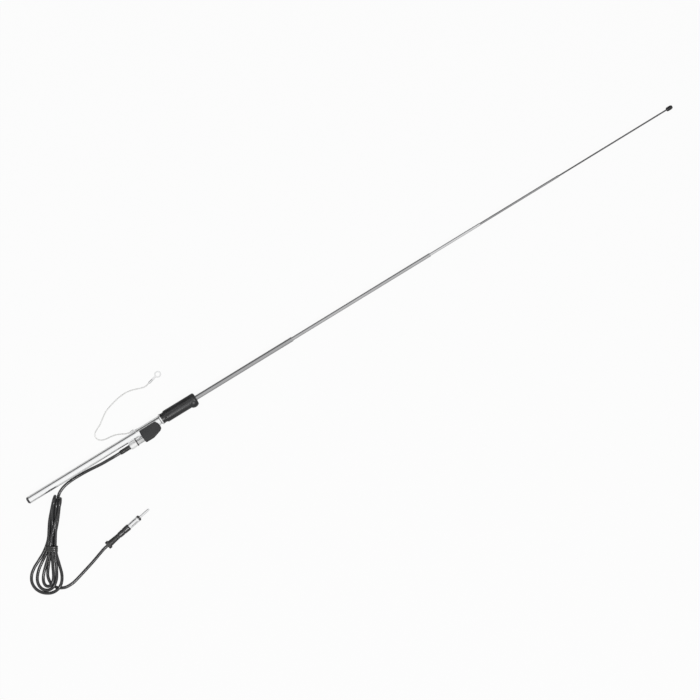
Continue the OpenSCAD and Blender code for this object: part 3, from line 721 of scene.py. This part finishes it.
boot = turned(
    "cable_boot_moulded",
    [*boot_top, (152.9, 3.2, 0.2), (152.9, 1.1), (143, 1.1), (143, 2.12)],
    RUBBER, at=FEED_AT,
)
for piece, node, slot in (
    (socket, "feed_socket", "nickel"), (nut, "union_nut", "bright_aluminium"),
    (gasket, "ring_gasket", "black_rubber"), (boot, "cable_boot", "black_rubber"),
):
    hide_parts(node)
    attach(piece, "case")

# Feed cover. A black moulded cap that snaps over the sleeve and hides the joint between the lead's
# core and the contact tube.
COVER_BLACK = moulded("cover_plastic", (0.008, 0.008, 0.009), (0.017, 0.017, 0.018), 0.46)
cover = eased_copy("feed_cover_moulded", "feed_cover", COVER_BLACK, 0.45, sharp=40)
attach(cover, "case")

# Earth tag and ring terminal. A tinned tag is spot-welded on the sleeve and crimped on the wire; the
# terminal at the other end takes a 5 mm screw.
TIN = plated("tin_plate_sheet", (0.86, 0.865, 0.87), (0.7, 0.7, 0.7), 0.3)
tag = eased_copy("earth_tag_pressed", "earth_tag", TIN, 0.12)
terminal = eased_copy("ring_terminal_pressed", "ring_terminal", TIN, 0.15)
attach(tag, "case")
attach(terminal, "case")

# Mast. Five telescopic sections of drawn, chromed tube, each with its mouth rolled in round the next,
# and a solid rod on top with a moulded bead that pulls the mast out and keeps the tip blunt.
SECTION_TOPS = [404, 614, 690, 810, 974]
SECTION_RADII = [3.1, 2.4, 1.85, 1.45, 1.0]
SECTION_BORES = [2.75, 2.1, 1.6, 1.2]
SECTION_LENGTHS = [245, 235, 225, 215, 205]
SHOE_LENGTH = 6
CRIMP_BACK = 5
CRIMP_DEPTH = 0.12
CRIMP_REACH = 0.7
ROLLED_LENGTH = 2
MOUTH_GAP = 0.05
SECTION_TONES = [0.42, 0.5, 0.68, 0.34, 0.15]
MAST = [
    plated(
        f"mast_chrome_{k + 1}",
        (tone, tone, tone * 1.01), (tone * 0.78, tone * 0.78, tone * 0.79), 0.15,
    )
    for k, tone in enumerate(SECTION_TONES)
]
for k in range(4):
    top, r, bore = SECTION_TOPS[k], SECTION_RADII[k], SECTION_BORES[k]
    foot = top - SECTION_LENGTHS[k] + SHOE_LENGTH
    mouth = SECTION_RADII[k + 1] + MOUTH_GAP
    crimp = top - CRIMP_BACK
    tube = turned(
        f"mast_tube_{k + 1}",
        [
            (foot, bore, 0.05), (foot, r, 0.1), (crimp - CRIMP_REACH, r, 0.3),
            (crimp, r - CRIMP_DEPTH, 0.4), (crimp + CRIMP_REACH, r, 0.3), (top, r, 0.7),
            (top, mouth, 0.12), (top - ROLLED_LENGTH, mouth, 0.1), (top - ROLLED_LENGTH, bore, 0.05),
        ],
        MAST[k], sides=56,
    )
    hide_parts(f"mast_{k + 1}")
    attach(tube, f"section_{k + 1}")

rod_foot = SECTION_TOPS[4] - SECTION_LENGTHS[4] + SHOE_LENGTH
rod = turned(
    "mast_rod",
    [
        (rod_foot - 3, 0), (rod_foot - 3, 0.6, 0.1), (rod_foot, 0.6, 0.05), (rod_foot, 1.0, 0.2),
        (SECTION_TOPS[4] + 5.4, 1.0, 0.15), (SECTION_TOPS[4] + 5.4, 0),
    ],
    MAST[4], sides=40,
)
BEAD_BLACK = moulded("bead_plastic", (0.014, 0.014, 0.015), (0.03, 0.03, 0.031), 0.26, depth=0.006)
bead = turned(
    "tip_bead_moulded",
    [
        (974, 1.03, 0.1), (974, 2.0, 0.5), (974.9, 2.65, 0.8), (977.5, 2.8, 1.5), (981, 2.75, 1.4),
        (983, 1.6, 1.2), (983, 0), (979.5, 0), (979.5, 1.03, 0.1),
    ],
    BEAD_BLACK, sides=56,
)
for piece, node, slot in ((rod, "mast_5", "mast_chrome"), (bead, "tip_bead", "bead_black")):
    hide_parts(node)
    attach(piece, "section_5")

# Hank tie. A soft black band, wound three times round the bundle, glossy where it is stretched.
HANK_AT = (-458, -6, 0)
HANK_TURN = -121.5
TIE_MIDDLE = 71
TIE_SIDEWAYS = -2.2
TIE_HALF_WIDTH = 8.3
TIE_HALF_HEIGHT = 6.2
TIE_THICK = 1.2
TIE_OFF_FLOOR = 0.05
TIE_TURNS = 3
TIE_PITCH = 2.45
TIE_LEAN = 0.35
LEAN_SHIFT = 0.8
LOOP_SQUARE = 0.62
BAND_SIDE_SQUARE = 0.7
BAND_TOP_SQUARE = 0.8
TIE_STEPS = 96
TIE_SIDES = 14
TIE_BLACK = sheath_finish(
    "tie_band_plastic", (0.012, 0.012, 0.012), (0.025, 0.025, 0.025), 0.14, 80, 1.0
)


def squared(wave, power):
    """A sine or a cosine pushed outwards, which makes a round squarer the less the power is."""
    return math.copysign(abs(wave) ** power, wave)


def wound_band():
    """Turns of a round-edged band side by side, each a closed tube round the bundle."""
    bm = bmesh.new()
    for turn in range(TIE_TURNS):
        middle = (turn - (TIE_TURNS - 1) / 2) * TIE_PITCH
        rings = []
        for k in range(TIE_STEPS):
            a = 2 * math.pi * k / TIE_STEPS
            c, s = math.cos(a), math.sin(a)
            y = squared(c, LOOP_SQUARE) * (TIE_HALF_WIDTH - TIE_THICK / 2)
            z = squared(s, LOOP_SQUARE) * (TIE_HALF_HEIGHT - TIE_THICK / 2)
            out = Vector((0, c / TIE_HALF_WIDTH, s / TIE_HALF_HEIGHT)).normalized()
            lean = TIE_LEAN * math.sin(a + turn * LEAN_SHIFT)
            ring = []
            for j in range(TIE_SIDES):
                b = 2 * math.pi * j / TIE_SIDES
                side = squared(math.cos(b), BAND_SIDE_SQUARE) * TIE_PITCH / 2
                lift = squared(math.sin(b), BAND_TOP_SQUARE) * TIE_THICK / 2
                ring.append(bm.verts.new(Vector((middle + lean + side, y, z)) + out * lift))
            rings.append(ring)
        for low, high in zip(rings, rings[1:] + rings[:1]):
            for j in range(TIE_SIDES):
                on = (j + 1) % TIE_SIDES
                bm.faces.new((low[j], low[on], high[on], high[j]))
    spot = Matrix.Translation((TIE_MIDDLE, TIE_SIDEWAYS, TIE_HALF_HEIGHT + TIE_OFF_FLOOR))
    turned_in = Matrix.Translation(HANK_AT) @ Matrix.Rotation(math.radians(HANK_TURN), 4, "Z")
    bm.transform(Matrix.Scale(MM, 4) @ turned_in @ spot)
    return keep(bm, "hank_tie_band", TIE_BLACK)


tie = wound_band()
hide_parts("hank_tie")
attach(tie, "case")

# Radio plug. A ribbed rubber grip with a winged flange, a moulded body, a slotted spring sleeve round a
# black core, and the long centre pin; the core's nose shows as a dark band in front of the sleeve.
PLUG_AT = (-433, -100, 4.52)
PLUG_TURN = 10
PLUG_DIP = 0.3
GRIP = moulded(
    "plug_grip_rubber", (0.018, 0.018, 0.018), (0.034, 0.034, 0.034), 0.34, turn=PLUG_TURN
)
grip = eased_copy("plug_grip_moulded", "plug_grip", GRIP, 0.15)
BODY = sheath_finish(
    "plug_body_plastic", (0.014, 0.014, 0.015), (0.03, 0.03, 0.031), 0.16, 110, 1.0
)
body = turned(
    "plug_body_moulded",
    [
        (18.92, 0), (18.92, 3.2, 0.1), (19.7, 3.2, 0.3), (20.3, 3.8, 0.4), (26.6, 4.06, 0.2),
        (27.0, 3.7, 0.1), (27.9, 3.7, 0.1), (28.3, 4.1, 0.2), (33.8, 4.3, 1.0), (36.5, 4.3, 0.8),
        (37.5, 3.75, 0.3), (37.5, 3.66, 0.1), (34.5, 3.66), (34.5, 1.16), (29.5, 1.16), (29.5, 0),
    ],
    BODY, at=PLUG_AT, turn=PLUG_TURN, dip=PLUG_DIP,
)
SPRING = plated(
    "plug_spring_nickel", (0.88, 0.885, 0.89), (0.68, 0.68, 0.68), 0.17, turn=PLUG_TURN
)
spring = eased_copy("plug_sleeve_slotted", "plug_sleeve", SPRING, 0.08)
core = eased_copy("plug_core_moulded", "plug_core", BODY, 0.15)
pin = turned(
    "plug_pin_turned",
    [
        (29.55, 0), (29.55, 1.1, 0.2), (55.98, 1.1, 0.05), (55.98, 1.6, 0.15), (58.6, 1.6, 0.1),
        (58.9, 1.5, 0.1), (59.3, 1.5, 0.1), (59.6, 1.6, 0.1), (69.9, 1.6, 0.5), (71.2, 1.25, 0.5),
        (71.95, 0.6, 0.3), (71.95, 0),
    ],
    SPRING, at=PLUG_AT, turn=PLUG_TURN, dip=PLUG_DIP, sides=48,
)
for piece, node, slot in (
    (grip, "plug_grip", "grip_black"), (body, "plug_body", "body_black"),
    (spring, "plug_sleeve", "nickel"), (core, "plug_core", "body_black"), (pin, "plug_pin", "nickel"),
):
    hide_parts(node)
    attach(piece, "case")
round(run(lead_points), 3)

# Floor and light. A white sheet under the aerial, which glows for the camera, less for what the metal
# mirrors, and keeps the soft shadow; a lamp beyond the plug's side and a weaker one opposite.
SHEET_SIZE = 12000
SHEET_WHITE = (0.45, 0.45, 0.45)
GLOW_SHARE = 0.95
MIRRORED_GLOW_SHARE = 0.25
under = Finish(bpy.data.materials.new("white_sheet"))
to_camera, mirrored, let_through = [
    under.node("ShaderNodeLightPath", out=f"Is {kind} Ray")
    for kind in ("Camera", "Glossy", "Transmission")
]
share = (to_camera + let_through).between(0.0, 1.0) * GLOW_SHARE + mirrored * MIRRORED_GLOW_SHARE
glow = under.node("ShaderNodeEmission", None, (1, 1, 1, 1), 1.0)
paper = under.node("ShaderNodeBsdfDiffuse", None, (*SHEET_WHITE, 1))
glowing_paper = under.node("ShaderNodeMixShader", None, share, paper, glow)
under.node("ShaderNodeOutputMaterial", None, glowing_paper)
bm = bmesh.new()
bmesh.ops.create_grid(bm, x_segments=1, y_segments=1, size=SHEET_SIZE * MM / 2)
sheet = keep(bm, "white_floor", under.owner)

# The lamps light all that is not polished; polished metal mirrors the room alone
polished = bpy.data.collections.new("polished")
for thing in bpy.context.scene.objects:
    if thing.type == "MESH" and any(m in POLISHED for m in thing.data.materials):
        polished.objects.link(thing)
for link in polished.collection_objects:
    link.light_linking.link_state = "EXCLUDE"


def lamp(name, place, aim, size, power):
    """A square lamp that the camera doesn't see: place, aim and size in metres, power in watts."""
    data = bpy.data.lights.new(name, "AREA")
    data.shape = "SQUARE"
    data.size = size
    data.energy = power
    made = put(name, data)
    made.location = place
    made.rotation_euler = (Vector(aim) - Vector(place)).to_track_quat("-Z", "Y").to_euler()
    made.visible_camera = False
    made.light_linking.receiver_collection = polished


lamp("key", (-0.35, -1.05, 2.2), (-0.3, 0.0, 0), 0.8, 46)
lamp("fill", (-0.75, 1.3, 1.9), (0.0, 0.0, 0), 0.9, 7)

# In reflections the room runs from grey on the plug's side through white overhead to black on the
# earth wire's side, so that every tube mirrors one dark line; all else is lit by one plain tone
PLAIN_TONE = (0.3, 0.3, 0.3)
ROOM_TONES = [
    (0.0, 0.75), (0.2, 1.08), (0.33, 0.82), (0.42, 1.0), (0.5, 1.15),
    (0.6, 0.85), (0.78, 0.88), (0.9, 0.3), (1.0, 0.02),
]
world = bpy.data.worlds.new("studio")
room = Finish(world)
direction = room.node("ShaderNodeTexCoord", out="Generated")
way = room.node("ShaderNodeSeparateXYZ", None, direction, out="Y") * 0.5 + 0.5
greys = [(spot, (tone, tone, tone)) for spot, tone in ROOM_TONES]
by_side = room.node("ShaderNodeValToRGB", dict(stops=greys), way)
reflected = room.node("ShaderNodeLightPath", out="Is Glossy Ray")
seen = room.node("ShaderNodeLightPath", out="Is Camera Ray")
tone = room.blend(seen, room.blend(reflected, PLAIN_TONE, by_side), (1, 1, 1))
room.node("ShaderNodeOutputWorld", None, room.node("ShaderNodeBackground", None, tone, 1.0))
bpy.context.scene.world = world
bpy.context.scene.view_settings.view_transform = "Standard"

bpy.context.view_layer.update()
